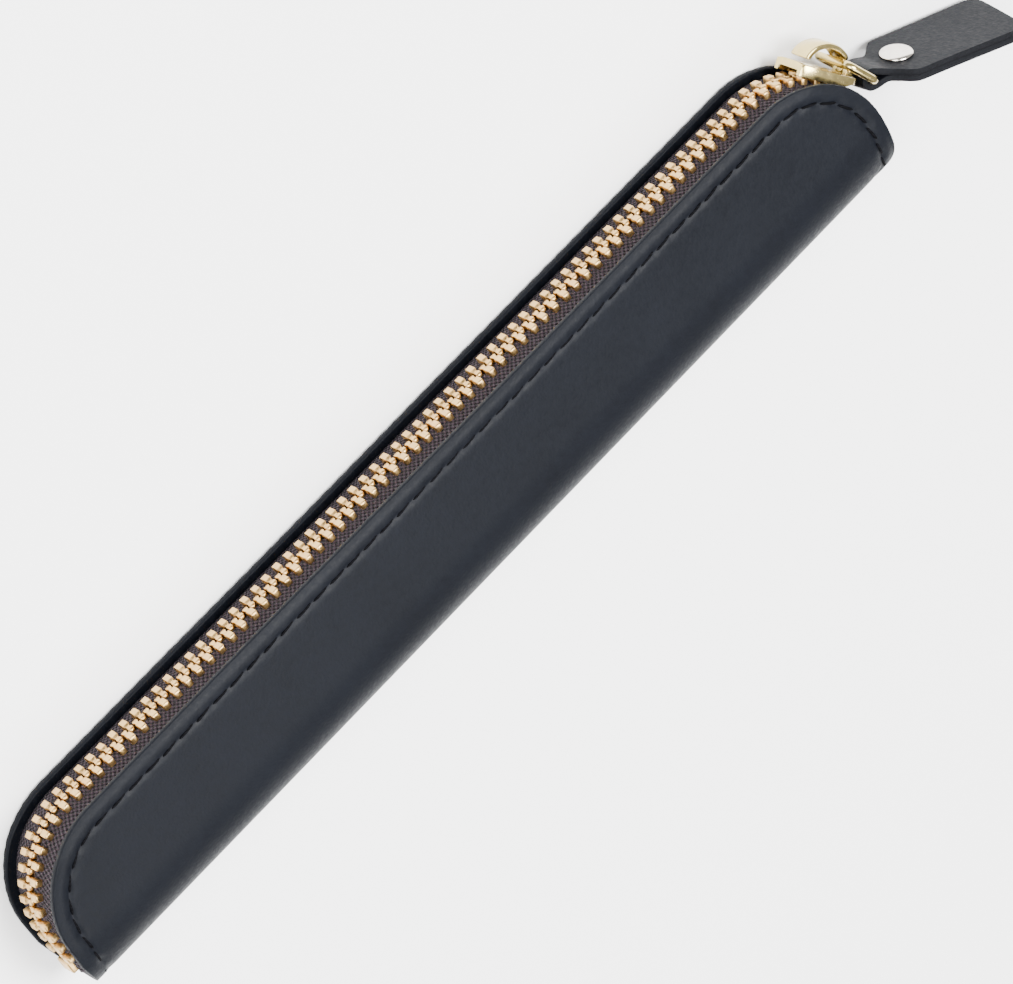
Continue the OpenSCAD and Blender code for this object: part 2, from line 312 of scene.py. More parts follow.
def turned_to(points, x, y, turn):
    """Points turned by an angle in the plane of the chain, then moved to a place in it."""
    p = np.asarray(points, float).reshape(-1, 3)
    c, s = math.cos(turn), math.sin(turn)
    return np.stack([x + p[:, 0] * c - p[:, 1] * s, y + p[:, 0] * s + p[:, 1] * c, p[:, 2]], 1)


def join(name, parts):
    """One object from several."""
    bpy.ops.object.select_all(action="DESELECT")
    for part in parts:
        part.select_set(True)
    bpy.context.view_layer.objects.active = parts[0]
    if len(parts) > 1:
        bpy.ops.object.join()
    parts[0].name = name
    parts[0].data.name = name
    return parts[0]


def wear(piece, *materials):
    piece.data.materials.clear()
    for material in materials:
        piece.data.materials.append(material)


def place_piece(piece, body, slot, *nodes):
    """Gives a piece its body and hides the frame nodes that it stands for; the slot is not used."""
    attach(piece, body)
    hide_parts(*nodes)


def bend_piece(piece, slot, *nodes):
    """Bakes the place of a piece of the front half into its mesh and hides the frame nodes that it stands
    for; the slot is not used.
    """
    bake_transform(piece)
    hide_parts(*nodes)


# ---------------------------------------------------------------- materials


def add(tree, kind, links=None, **settings):
    """Adds a node with its settings, and links its inputs to other nodes' outputs or sets their values."""
    node = tree.nodes.new(kind)
    for key, value in settings.items():
        setattr(node, key, value)
    for key, value in (links or {}).items():
        if isinstance(value, bpy.types.NodeSocket):
            tree.links.new(value, node.inputs[key])
        else:
            node.inputs[key].default_value = value
    return node


def material(name, **values):
    """A material with a Principled shader that holds the given values."""
    made = bpy.data.materials.get(name)
    if made:
        return made, None, None
    made = bpy.data.materials.new(name)
    made.use_nodes = True
    shader = made.node_tree.nodes["Principled BSDF"]
    for key, value in values.items():
        shader.inputs[key.replace("_", " ")].default_value = value
    return made, made.node_tree, shader


def object_place(tree):
    """Object coordinates in millimetres."""
    where = add(tree, "ShaderNodeTexCoord").outputs["Object"]
    return add(tree, "ShaderNodeMapping", {"Vector": where, "Scale": (1000, 1000, 1000)}).outputs[0]


def mixed(tree, share, one, two):
    mix = add(tree, "ShaderNodeMix", {"Factor": share}, data_type="RGBA")
    for socket, value in ((6, one), (7, two)):
        if isinstance(value, bpy.types.NodeSocket):
            tree.links.new(value, mix.inputs[socket])
        else:
            mix.inputs[socket].default_value = value
    return mix.outputs[2]


def noise(tree, where, scale, detail, rough=0.5):
    links = {"Vector": where, "Scale": scale, "Detail": detail, "Roughness": rough}
    return add(tree, "ShaderNodeTexNoise", links).outputs[0]


def maths(tree, operation, *values):
    return add(tree, "ShaderNodeMath", dict(enumerate(values)), operation=operation).outputs[0]


def surface(tree, shader, shade, height, strength, distance, **over):
    """Gives a shader its colour and a bump, over another bump's normal if one is given."""
    bump = add(tree, "ShaderNodeBump", {"Height": height, "Strength": strength, "Distance": distance, **over})
    tree.links.new(shade, shader.inputs["Base Color"])
    tree.links.new(bump.outputs[0], shader.inputs["Normal"])


def ranged(tree, value, low, high, to_low, to_high):
    links = {"Value": value, "From Min": low, "From Max": high, "To Min": to_low, "To Max": to_high}
    return add(tree, "ShaderNodeMapRange", links).outputs["Result"]


def smooth_leather():
    """Smooth aniline calf, navy-black: low sheen, fine pores 0.5 mm apart, soft clouding over centimetres."""
    made, tree, shader = material("smooth_calf_leather", Roughness=0.5, Specular_IOR_Level=0.09)
    if tree is None:
        return made
    where = object_place(tree)
    cloud = noise(tree, where, scale=0.06, detail=5, rough=0.6)
    fine = noise(tree, where, scale=1.1, detail=6, rough=0.7)
    pores = add(tree, "ShaderNodeTexVoronoi", {"Vector": where, "Scale": 1.9}, feature="SMOOTH_F1")
    shade = mixed(tree, ranged(tree, cloud, 0.3, 0.7, 0, 1), tint("leather", 0.86), tint("leather", 1.16))
    speck = mixed(tree, ranged(tree, fine, 0.35, 0.75, 0, 0.45), shade, tint("leather", 1.9))
    tree.links.new(ranged(tree, fine, 0.3, 0.7, 0.42, 0.6), shader.inputs["Roughness"])
    grain = add(tree, "ShaderNodeBump",
                {"Height": pores.outputs["Distance"], "Strength": 0.22, "Distance": 0.00012})
    surface(tree, shader, speck, fine, 0.35, 0.0001, Normal=grain.outputs[0])
    return made


def cut_edge():
    """Cut leather edge, dyed and left raw: matt, with short fibres that catch a little light."""
    made, tree, shader = material("cut_leather_edge", Roughness=0.85, Specular_IOR_Level=0.12)
    if tree is None:
        return made
    where = object_place(tree)
    fibre = noise(tree, where, scale=2.4, detail=8, rough=0.75)
    shade = mixed(tree, ranged(tree, fibre, 0.35, 0.7, 0, 1),
                  tint("leather_edge", 0.6), tint("leather_edge", 1.7))
    surface(tree, shader, shade, fibre, 0.7, 0.0002)
    return made


def flesh_side():
    """Flesh side of the leather: brushed suede nap, matt with a soft sheen."""
    made, tree, shader = material("leather_flesh_side", Roughness=0.95, Sheen_Weight=0.08,
                                  Specular_IOR_Level=0.12)
    if tree is None:
        return made
    where = object_place(tree)
    nap = noise(tree, where, scale=1.6, detail=8, rough=0.8)
    surface(tree, shader, mixed(tree, nap, tint("flesh", 0.7), tint("flesh", 1.5)), nap, 0.6, 0.0002)
    return made


def waxed_thread():
    """Waxed polyester thread: a dull gloss, and twisted plies as slanted bands about 1.1 mm apart."""
    made, tree, shader = material("waxed_thread", Roughness=0.8, Specular_IOR_Level=0.05)
    if tree is None:
        return made
    where = object_place(tree)
    ply = add(tree, "ShaderNodeTexWave", {"Vector": where, "Scale": 0.55, "Distortion": 1.0},
              bands_direction="DIAGONAL")
    twist = ply.outputs["Fac"]
    surface(tree, shader, mixed(tree, twist, tint("thread", 0.6), tint("thread", 1.6)), twist, 0.6, 0.0001)
    return made


def woven_tape():
    """Woven polyester zipper tape: ribs 0.6 mm apart along the tape, picks 0.5 mm apart across it.

    The real threads are about 0.3 mm; they are drawn twice as coarse so that they show.
    """
    made, tree, shader = material("woven_zipper_tape", Roughness=0.85, Specular_IOR_Level=0.15,
                                  Sheen_Weight=0.05)
    if tree is None:
        return made
    where = add(tree, "ShaderNodeUVMap", uv_map="UVMap").outputs[0]
    along, across = add(tree, "ShaderNodeSeparateXYZ", {"Vector": where}).outputs[:2]
    two_picks, two_ribs = 1.0, 1.2
    picks = maths(tree, "SINE", maths(tree, "MULTIPLY", along, 2 * math.pi / two_picks))
    ribs = maths(tree, "SINE", maths(tree, "MULTIPLY", across, 2 * math.pi / two_ribs))
    fuzz = noise(tree, where, scale=1.3, detail=5, rough=0.7)
    weave = maths(tree, "ADD", maths(tree, "MULTIPLY", picks, ribs), fuzz)
    shade = mixed(tree, ranged(tree, weave, -0.3, 1.3, 0, 1), tint("tape_weft"), tint("tape", 1.25))
    surface(tree, shader, shade, weave, 1.0, 0.0004)
    return made


def metal(name, shade, roughness, scratch):
    """A plated metal: near-mirror gloss broken by fine handling marks."""
    made, tree, shader = material(name, Metallic=1.0, Roughness=roughness)
    if tree is None:
        return made
    where = object_place(tree)
    marks = noise(tree, where, scale=0.9, detail=7, rough=0.65)
    tone = mixed(tree, ranged(tree, marks, 0.3, 0.7, 0, 1), tint(shade, 0.86), tint(shade, 1.04))
    gloss = ranged(tree, marks, 0.3, 0.75, roughness * 0.75, roughness * 1.35)
    tree.links.new(gloss, shader.inputs["Roughness"])
    surface(tree, shader, tone, marks, scratch, 0.00006)
    return made


def brass():
    """Stamped brass teeth, tumbled: satin, slightly uneven from tooth to tooth."""
    return metal("tumbled_brass", "teeth", 0.34, 0.5)


def pale_gold():
    """Zinc die casting with pale gold plating, barrel polished."""
    return metal("pale_gold_plating", "slider", 0.2, 0.3)


def nickel():
    """Nickel plated steel cap, polished."""
    return metal("polished_nickel", "rivet", 0.17, 0.2)


# ---------------------------------------------------------------- leather


def panel_rows():
    """Shares of the height at which a panel has its rows: dense at the fold and at the edge."""
    split = 0.42
    low = [split * (1 - math.cos(a)) for a in np.linspace(0, math.pi / 2, 26)]
    high = [split + (1 - split) * (1 - (1 - t) ** 1.7) for t in np.linspace(0, 1, 50)[1:]]
    return np.array(low + high)


def leather_panel(name, side):
    """One half of the folded sheet, with its grain face, flesh side and rounded cut edge."""
    r = mm("corner_r")
    cx, cy = HALF_L - r, CASE_H - r
    turns = np.linspace(0, math.pi / 2, 46)
    right = cx + r * np.sin(turns)
    run = np.linspace(-cx, cx, 180)
    x0 = np.concatenate([-right[:0:-1], run, right[1:]])
    top = np.where(np.abs(x0) <= cx, CASE_H, cy + np.sqrt(np.clip(r * r - (np.abs(x0) - cx) ** 2, 0, None)))
    shares = panel_rows()
    h = shares[:, None] * top[None, :]
    x = np.repeat(x0[None, :], len(shares), 0)
    for slider_end in (False, True):
        sign = 1 if slider_end else -1
        part = (sign * x) > cx
        reach = end_at(h, slider_end)
        x = np.where(part, sign * (cx + (np.abs(x) - cx) * (reach - cx) / r), x)
    # distance from the cut edge, and length along it for the puckers at the stitches
    corner = (np.abs(x) > cx) & (h > cy)
    away = np.where(corner, r - np.hypot(np.abs(x) - cx, h - cy),
                    np.minimum(CASE_H - h, np.minimum(end_at(h, True) - x, x + end_at(h, False))))
    turn = np.arctan2(np.clip(np.abs(x) - cx, 0, None), np.clip(h - cy, 1e-6, None))
    seam_r, seam_arc = 14, 22
    along = np.where(corner, cx + seam_r * turn, np.where(h > cy, np.abs(x), cx + seam_arc + cy - h))
    n = half_at(h)
    # relief: the seam's groove and puckers, the swell of the lip, slow waves along it, slack in the face
    seam = mm("lip_h")
    groove = 0.22 * np.exp(-(((away - seam) / 0.4) ** 2))
    holes = 0.5 + 0.5 * np.cos(2 * math.pi * along / mm("stitch_pitch"))
    pucker = 0.22 * holes * np.exp(-(((away - seam) / 0.9) ** 2))
    swell = 0.10 * np.exp(-(((away - 1.5) / 0.7) ** 2))
    wave = 0.16 * np.sin(x / 21 + 0.6 * side) * np.exp(-away / 4)
    slack = 0.12 * np.sin(x / 33 + 1.3 + side) * np.sin(math.pi * np.clip(h / CASE_H, 0, 1))
    lift = swell + wave + slack - groove - pucker
    lift *= np.clip(h / 4, 0, 1)
    if side < 0:
        lift = np.minimum(lift, 0)
    # normals of the outer face from the plain section
    step = 0.05
    slope = (half_at(h + step) - half_at(np.clip(h - step, 0, None))) / (2 * step)
    length = np.sqrt(1 + slope**2)
    nh, nn = -slope / length, 1 / length
    nh[0], nn[0] = -1, 0
    n[0] = 0
    outer = np.stack([x, h + nh * lift, n + nn * lift], -1)
    thick = mm("leather_t")
    inner = np.stack([x, h - nh * thick, n - nn * thick + lift * 0.5], -1)
    inner[0] = np.stack([x[0], np.full_like(x[0], thick), np.zeros_like(x[0])], -1)
    inner[..., 2] = np.clip(inner[..., 2], 0, None)
    rows, columns = x.shape
    ring = [(i, 0) for i in range(rows)] + [(rows - 1, j) for j in range(1, columns)]
    ring += [(i, columns - 1) for i in range(rows - 2, -1, -1)]
    flat = [i * columns + j for i, j in ring]
    points = [outer.reshape(-1, 3), inner.reshape(-1, 3)]
    count = rows * columns
    # the cut edge stands a little proud between the two faces, with rounded arrises
    edge_out = []
    for i, j in ring:
        if i == rows - 1 and abs(x0[j]) <= cx:
            edge_out.append((0, 1))
        else:
            away_x, away_h = abs(x0[j]) - cx, max(0.0, h[i, j] - cy)
            size_of = math.hypot(away_x, away_h)
            share = min(1.0, h[i, j] / mm("fold_r")) / size_of
            edge_out.append((math.copysign(away_x * share, x0[j]), away_h * share))
    edge_out = np.array([(a, b, 0) for a, b in edge_out])
    one, two = outer.reshape(-1, 3)[flat], inner.reshape(-1, 3)[flat]
    loops = [np.array(flat)]
    for share, proud in ((0.12, 0.17), (0.35, 0.24), (0.65, 0.24), (0.88, 0.17)):
        rough = 0.05 * np.sin(np.arange(len(flat)) * 1.7 + share * 9)
        points.append(one + (two - one) * share + edge_out * (proud + rough)[:, None])
        loops.append(np.arange(len(flat)) + sum(len(p) for p in points[:-1]))
    loops.append(np.array(flat) + count)
    faces = grid_faces(rows, columns)
    faces += [tuple(v + count for v in face[::-1]) for face in grid_faces(rows, columns)]
    skins = len(faces) // 2
    for a, b in zip(loops[:-1], loops[1:]):
        faces += [(a[k], b[k], b[k + 1], a[k + 1]) for k in range(len(flat) - 1)]
    faces += [(j, j + 1, j + 1 + count, j + count) for j in range(columns - 1)]
    all_points = np.concatenate(points)
    all_points[:, 2] *= side
    if side < 0:
        all_points[:, 2] = np.maximum(all_points[:, 2], -HALF_W)
    piece = new_piece(name, all_points, [tuple(int(v) for v in f) for f in faces])
    slots = [0] * skins + [2] * skins + [1] * (len(faces) - 2 * skins)
    if len(piece.data.polygons) == len(slots):
        piece.data.polygons.foreach_set("material_index", slots)
    wear(piece, smooth_leather(), cut_edge(), flesh_side())
    outward(piece)
    smooth_by_angle(piece, 62)
    return piece


class PENCASE_OT_leather(bpy.types.Operator):
    """Makes the two halves of the folded leather sheet"""

    bl_idname = "pen_case.leather"
    bl_label = "Leather"

    def execute(self, context):
        place_piece(leather_panel("leather_back", -1), "case_back", "leather", "back_panel")
        bend_piece(leather_panel("leather_front", 1), "leather", "front_panel")
        return {"FINISHED"}


# ---------------------------------------------------------------- rows along a path


def path_line(name, places, normals):
    """A line of points with the normal that pieces on it stand along."""
    mesh = bpy.data.meshes.new(name)
    mesh.from_pydata([tuple(p) for p in to_row(places)], [(i, i + 1) for i in range(len(places) - 1)], [])
    layer = mesh.attributes.new("stand", "FLOAT_VECTOR", "POINT")
    layer.data.foreach_set("vector", turn_to_row(normals).astype(np.float32).ravel())
    return placed(name, mesh)


def row_tree():
    """Geometry nodes that set copies of a piece along a line, and end in one mesh with one material."""
    tree = bpy.data.node_groups.get("row_along_line")
    if tree:
        return tree
    tree = bpy.data.node_groups.new("row_along_line", "GeometryNodeTree")
    for name, kind in (("Geometry", "Geometry"), ("Piece", "Object"), ("Pitch", "Float"),
                       ("Wobble", "Float"), ("Seed", "Int"), ("Material", "Material")):
        tree.interface.new_socket(name, in_out="INPUT", socket_type="NodeSocket" + kind)
    tree.interface.new_socket("Geometry", in_out="OUTPUT", socket_type="NodeSocketGeometry")
    given = add(tree, "NodeGroupInput").outputs
    curve = add(tree, "GeometryNodeMeshToCurve", {"Mesh": given["Geometry"]})
    spaced = add(tree, "GeometryNodeResampleCurve", {"Curve": curve.outputs[0], "Length": given["Pitch"]},
                 mode="LENGTH")
    tangent = add(tree, "GeometryNodeInputTangent")
    stand = add(tree, "GeometryNodeInputNamedAttribute", {"Name": "stand"}, data_type="FLOAT_VECTOR")
    first = add(tree, "FunctionNodeAlignRotationToVector", {"Vector": tangent.outputs[0]}, axis="X")
    second = add(tree, "FunctionNodeAlignRotationToVector",
                 {"Rotation": first.outputs[0], "Vector": stand.outputs[0]}, axis="Z", pivot_axis="X")
    ends = (maths(tree, "MULTIPLY", given["Wobble"], -1.0), given["Wobble"])
    low, high = (add(tree, "ShaderNodeCombineXYZ", dict.fromkeys("XYZ", end)).outputs[0] for end in ends)
    random = add(tree, "FunctionNodeRandomValue", {0: low, 1: high, "Seed": given["Seed"]},
                 data_type="FLOAT_VECTOR")
    shake = add(tree, "FunctionNodeEulerToRotation", {"Euler": random.outputs[0]})
    turned = add(tree, "FunctionNodeRotateRotation",
                 {"Rotation": second.outputs[0], "Rotate By": shake.outputs[0]}, rotation_space="LOCAL")
    shape = add(tree, "GeometryNodeObjectInfo", {"Object": given["Piece"]})
    copies = add(tree, "GeometryNodeInstanceOnPoints",
                 {"Points": spaced.outputs[0], "Instance": shape.outputs["Geometry"],
                  "Rotation": turned.outputs[0]})
    real = add(tree, "GeometryNodeRealizeInstances", {"Geometry": copies.outputs[0]})
    done = add(tree, "GeometryNodeSetMaterial", {"Geometry": real.outputs[0], "Material": given["Material"]})
    add(tree, "NodeGroupOutput", {"Geometry": done.outputs[0]})
    return tree


def row_along(name, line, piece, pitch, made_of, wobble=0.0, seed=1):
    """A plain mesh of copies of a piece along a line, a pitch in millimetres apart."""
    tree = row_tree()
    modifier = line.modifiers.new("Row", "NODES")
    modifier.node_group = tree
    values = {"Piece": piece, "Pitch": pitch / 1000, "Wobble": wobble, "Seed": seed, "Material": made_of}
    for item in tree.interface.items_tree:
        if item.item_type == "SOCKET" and item.in_out == "INPUT" and item.name in values:
            modifier[item.identifier] = values[item.name]
    graph = bpy.context.evaluated_depsgraph_get()
    graph.update()
    mesh = bpy.data.meshes.new_from_object(line.evaluated_get(graph))
    row = placed(name, mesh)
    mesh.name = name
    bpy.data.objects.remove(line)
    bpy.data.objects.remove(piece)
    if "stand" in mesh.attributes:
        mesh.attributes.remove(mesh.attributes["stand"])
    wear(row, made_of)
    if len(mesh.polygons) == 0:
        raise RuntimeError(f"{name} came out empty")
    return row


def stitch_shape():
    """One stitch: a soft thread whose ends dip into the leather. x along it, z out of the leather."""
    rings = []
    for t in np.linspace(-1, 1, 9):
        width = 0.20 * (1 - abs(t) ** 4) ** 0.5 + 0.05
        rise = 0.10 * (1 - t * t) - 0.24
        rings.append([(1.7 * t, 0.16 * t + width * math.cos(a), rise + 0.8 * width * math.sin(a))
                      for a in around(8)])
    return swept("stitch_shape", np.array(rings) / 1000, in_row=True)


def stitch_row(name, side):
    path = Path(mm("lip_h"), STITCH_START)
    places, normals = [], []
    for s in np.arange(0, path.total, 0.5):
        (x, h), _ = path.at(s)
        slope = (half_at(h + 0.05) - half_at(max(0.0, h - 0.05))) / 0.1
        length = math.hypot(1, slope)
        places.append((x, h, side * (float(half_at(h)) - STITCH_SINK)))
        normals.append((0, -slope / length, side / length))
    line = path_line(name + "_line", places, normals)
    return row_along(name, line, stitch_shape(), mm("stitch_pitch"), waxed_thread(), 0.05, 4)


class PENCASE_OT_stitches(bpy.types.Operator):
    """Sews the row of stitches on each panel"""

    bl_idname = "pen_case.stitches"
    bl_label = "Stitches"

    def execute(self, context):
        place_piece(stitch_row("stitch_row_back", -1), "case_back", "thread", "stitches_back")
        bend_piece(stitch_row("stitch_row_front", 1), "thread", "stitches_front")
        return {"FINISHED"}


# ---------------------------------------------------------------- zipper


def tape_reach(h):
    """How far the tape reaches from the middle at a height, to just inside the leather."""
    return max(float(half_at(h, mm("leather_t"))) - TAPE_GAP, TAPE_EDGE + 0.6)


def tape_piece(name, side):
    """One tape: the corded edge under the teeth, the part that spans to the lip, and the sewn part."""
    path = Path(mm("chain_depth"), TAPE_START)
    thick = mm("tape_t")
    stations = np.arange(0, path.total, 0.8)
    rings, uvs = [], []
    for s in stations:
        (x, h), (ox, oh) = path.at(s)
        limit = tape_reach(h)
        profile = []
        for t in np.linspace(0, 1, 22):
            n = TAPE_EDGE + (limit - TAPE_EDGE) * t
            cord = 0.30 * math.exp(-(((n - 1.25) / 0.55) ** 2))
            profile.append((-0.85 * t**2.2 + cord, n))
        for depth in np.linspace(1.6, mm("tape_sewn"), 8):
            profile.append((-depth, None))
        section = []
        for r, n in profile:
            px, ph = x + ox * r, h + oh * r
            if n is None:
                n = tape_reach(ph)
            section.append((px, ph, n))
        section = np.array(section)
        ahead = np.gradient(section, axis=0)
        flat = np.stack([ahead @ np.array([ox, oh, 0]), ahead[:, 2]], 1)
        flat /= np.maximum(np.linalg.norm(flat, axis=1, keepdims=True), 1e-9)
        down = np.stack([-flat[:, 1] * ox, -flat[:, 1] * oh, flat[:, 0]], 1)
        under = section + down * thick
        across = np.concatenate([[0], np.cumsum(np.linalg.norm(np.diff(section, axis=0), axis=1))])
        rings.append(np.concatenate([section, under[::-1]]))
        uvs += [(s, v) for v in np.concatenate([across, across[::-1]])]
    rings = np.array(rings)
    rings[..., 2] *= side
    piece = new_piece(name, rings.reshape(-1, 3), tube_faces(*rings.shape[:2]), uvs)
    outward(piece, merge=False)
    smooth_by_angle(piece, 50)
    wear(piece, woven_tape())
    return piece


class PENCASE_OT_tapes(bpy.types.Operator):
    """Weaves the two zipper tapes"""

    bl_idname = "pen_case.tapes"
    bl_label = "Tapes"

    def execute(self, context):
        place_piece(tape_piece("woven_tape_back", -1), "case_back", "tape", "tape_back")
        bend_piece(tape_piece("woven_tape_front", 1), "tape", "tape_front")
        return {"FINISHED"}


def tooth_shape():
    """One stamped tooth: x along the chain, z across it away from the middle, y through the tape."""
    reach = mm("chain_w") / 2
    work = bmesh.new()
    # distance from the middle, half width along the chain and half height through the tape
    stations = [(-0.68, 0.30, 0.60), (-0.50, 0.52, 0.92), (0.02, 0.56, 1.02), (0.34, 0.40, 0.90),
                (0.78, 0.38, 0.88), (1.04, 0.60, 1.16), (1.2, 0.65, 1.22), (reach - 0.34, 0.65, 1.22),
                (reach - 0.1, 0.60, 1.12), (reach, 0.46, 0.92)]
    corners = [(1, 0.3), (1, 0.82), (0.84, 1), (-0.84, 1), (-1, 0.82), (-1, 0.3),
               (-1, -0.3), (-1, -0.82), (-0.84, -1), (0.84, -1), (1, -0.82), (1, -0.3)]
    rings = [[work.verts.new((wide * a / 1000, high * b / 1000, z / 1000)) for a, b in corners]
             for z, wide, high in stations]
    for one, two in zip(rings[:-1], rings[1:]):
        for k in range(12):
            work.faces.new((one[k], one[(k + 1) % 12], two[(k + 1) % 12], two[k]))
    work.faces.new(rings[0][::-1])
    work.faces.new(rings[-1])
    bmesh.ops.recalc_face_normals(work, faces=work.faces)
    mesh = bpy.data.meshes.new("tooth_shape")
    work.to_mesh(mesh)
    work.free()
    tooth = placed("tooth_shape", mesh)
    smooth_by_angle(tooth, 52)
    return tooth


def parked_at():
    """Length along the chain, from the first tooth, at which the slider is parked, and its angle."""
    park = math.radians(PARK_ANGLE)
    path = Path(mm("chain_depth"), CHAIN_START)
    return path.up + path.arc + path.run + path.r * park, park


def teeth_row(name, side):
    path = Path(mm("chain_depth"), CHAIN_START)
    parked, _ = parked_at()
    pitch = mm("tooth_pitch")
    count = int((parked + 1.5) / pitch)
    first = 0 if side > 0 else pitch / 2
    steps = np.linspace(first, first + (count - (side < 0)) * pitch, count * 6)
    places = [(*path.at(s)[0], 0) for s in steps]
    normals = [(0, 0, side)] * len(places)
    if side < 0:
        places = places[::-1]
    line = path_line(name + "_line", places, normals)
    return row_along(name, line, tooth_shape(), pitch, brass(), 0.035, 7)


def clamp_block(name, s, height, low, high, length):
    """A small bevelled stop across the chain between two distances from its middle."""
    (x, h), (ox, oh) = Path(mm("chain_depth"), TAPE_START).at(s)
    points = [(x + oh * a + ox * b, h - ox * a + oh * b, n)
              for a in (-length / 2, length / 2) for b in (-height / 2, height / 2) for n in (low, high)]
    faces = [(0, 1, 3, 2), (4, 6, 7, 5), (0, 4, 5, 1), (2, 3, 7, 6), (0, 2, 6, 4), (1, 5, 7, 3)]
    piece = outward(new_piece(name, points, faces))
    wear(piece, brass())
    return bevelled(piece, 0.35)


class PENCASE_OT_teeth(bpy.types.Operator):
    """Sets the teeth and the stops on the tapes"""

    bl_idname = "pen_case.teeth"
    bl_label = "Teeth and stops"

    def execute(self, context):
        place_piece(teeth_row("tooth_row_back", -1), "case_back", "teeth_brass", "teeth_back")
        bend_piece(teeth_row("tooth_row_front", 1), "teeth_brass", "teeth_front")
        start = clamp_block("start_stop", 1.4, 2.4, -2.8, 0.6, 2.6)
        place_piece(start, "case_back", "teeth_brass", "bottom_stop")
        parked, _ = parked_at()
        beyond = parked + (CHAIN_START - TAPE_START) + SLIDER_L / 2 + 1.6
        back = clamp_block("end_stop_back", beyond, 2.4, -2.8, -1.0, 1.6)
        place_piece(back, "case_back", "teeth_brass", "top_stop_back")
        front = clamp_block("end_stop_front", beyond, 2.4, 1.0, 2.8, 1.6)
        bend_piece(front, "teeth_brass", "top_stop_front")
        return {"FINISHED"}


# ---------------------------------------------------------------- slider

# Heights over the middle of the chain and places along the slider, in millimetres; angles in degrees
PARK_ANGLE = 55
SLIDER_L = 13.0
NOSE_HALF = 4.7
TAIL_HALF = 4.0
PLATE_TOP = 1.45
PLATE_T = 1.2
PLATE_LOW = -2.92
LUG_X = SLIDER_L / 2 - 1.1
LUG_Y = PLATE_TOP + PLATE_T + 0.85
RING_X = LUG_X - 2.9
RING_Y = PLATE_TOP + PLATE_T + 1.75
RING_DIP = math.radians(11)
RING_STEP = 7.0
RING_INNER_W = 7.8
FLANGE = 0.9
BAIL_HALF = 2.35
BAIL_NECK = 0.72


def from_slider(points):
    """Points of the slider's frame (x along the chain, y out, z across) as points of the case's frame."""
    parked, park = parked_at()
    (x, h), _ = Path(mm("chain_depth"), CHAIN_START).at(parked)
    return turned_to(points, x, h, -park)


def plan_half(x):
    """Half width of the slider at a place along it: full at the shoulders, drawn in at nose and tail."""
    t = (x + SLIDER_L / 2) / SLIDER_L
    half = TAIL_HALF + (NOSE_HALF - TAIL_HALF) * min(1, t / 0.7)
    if t > 0.8:
        half -= 2.3 * ((t - 0.8) / 0.2) ** 2.2
    if t < 0.06:
        half -= 0.5 * (1 - t / 0.06)
    return half


def top_plate():
    """The top plate with a flange down each side."""
    sections = []
    for x in (-6.5, -6.3, -5.6, -3, 0, 2, 3.4, 4.4, 5.2, 5.8, 6.2, 6.5):
        half = plan_half(x)
        low = PLATE_TOP - FLANGE * min(1.0, max(0.0, (4.4 - x) / 1.8))
        side, crown = PLATE_TOP + PLATE_T - 0.12, PLATE_TOP + PLATE_T + 0.12
        right = [(crown, half * 0.6), (side, half), (low, half), (low, half - 0.9), (PLATE_TOP, half - 0.95)]
        left = [(y, -z) for y, z in right[::-1]]
        ring = left[-2:] + right + left[:-2]
        sections.append(from_slider([(x, y, z) for y, z in ring]))
    return bevelled(swept("slider_top", sections), 0.22)


def slab(name, xs, low, high, half_of):
    """A plate between two heights whose half width follows a rule."""
    corners = ((low, -1), (high, -1), (high, 1), (low, 1))
    sections = [from_slider([(x, y, side * half_of(x)) for y, side in corners]) for x in xs]
    return bevelled(swept(name, sections), 0.2)


def slider_casting():
    """The slider casting: two plates, the wedge between them and the lug for the bail."""
    stops = (-6.5, -6.2, -5, -2, 1, 3.2, 4.6, 5.6, 6.2, 6.5)
    parts = [top_plate(),
             slab("slider_under", stops, PLATE_LOW - PLATE_T, PLATE_LOW, plan_half),
             slab("slider_wedge", (2.45, 3.25, 4.05), PLATE_LOW - 0.1, PLATE_TOP + 0.1, lambda x: 0.7)]
    for side in (-1, 1):
        ear = slab("slider_ear", (LUG_X - 0.95, LUG_X, LUG_X + 0.95), PLATE_TOP + PLATE_T - 0.1,
                   PLATE_TOP + PLATE_T + 1.7, lambda x: 0.52)
        ear.data.transform(Matrix.Translation((0, 0, side * 1.38 / 1000)))
        parts.append(ear)
    return join("slider_casting", parts)


def bail_band():
    """The bail: a wide curved band, free at the tail, that narrows into the lug at the nose."""
    base = PLATE_TOP + PLATE_T + 0.35
    span, rise = SLIDER_L / 2 - 1.3, 4.3
    sections = []
    for a in np.linspace(8, 170, 34):
        t = math.radians(a)
        thick = 1.0
        wide = 0.5 - 0.5 * math.cos(math.pi * min(1, (a - 8) / 40))
        half = BAIL_NECK + (BAIL_HALF - BAIL_NECK) * wide
        nx, ny = math.cos(t) / span, math.sin(t) / rise
        size_of = math.hypot(nx, ny)
        nx, ny = nx / size_of, ny / size_of
        x, y = span * math.cos(t), base + rise * math.sin(t)
        sections.append(from_slider([
            (x, y, -half * 0.82), (x, y, half * 0.82), (x - nx * 0.2, y - ny * 0.2, half),
            (x - nx * thick, y - ny * thick, half), (x - nx * thick, y - ny * thick, -half),
            (x - nx * 0.2, y - ny * 0.2, -half)]))
    band = bevelled(swept("bail_band", sections), 0.12, 2, 50)
    foot = slab("bail_foot", (LUG_X - 1.0, LUG_X, LUG_X + 0.8), PLATE_TOP + PLATE_T + 0.12,
                PLATE_TOP + PLATE_T + 2.3, lambda x: 0.68)
    return join("bail", [band, foot])


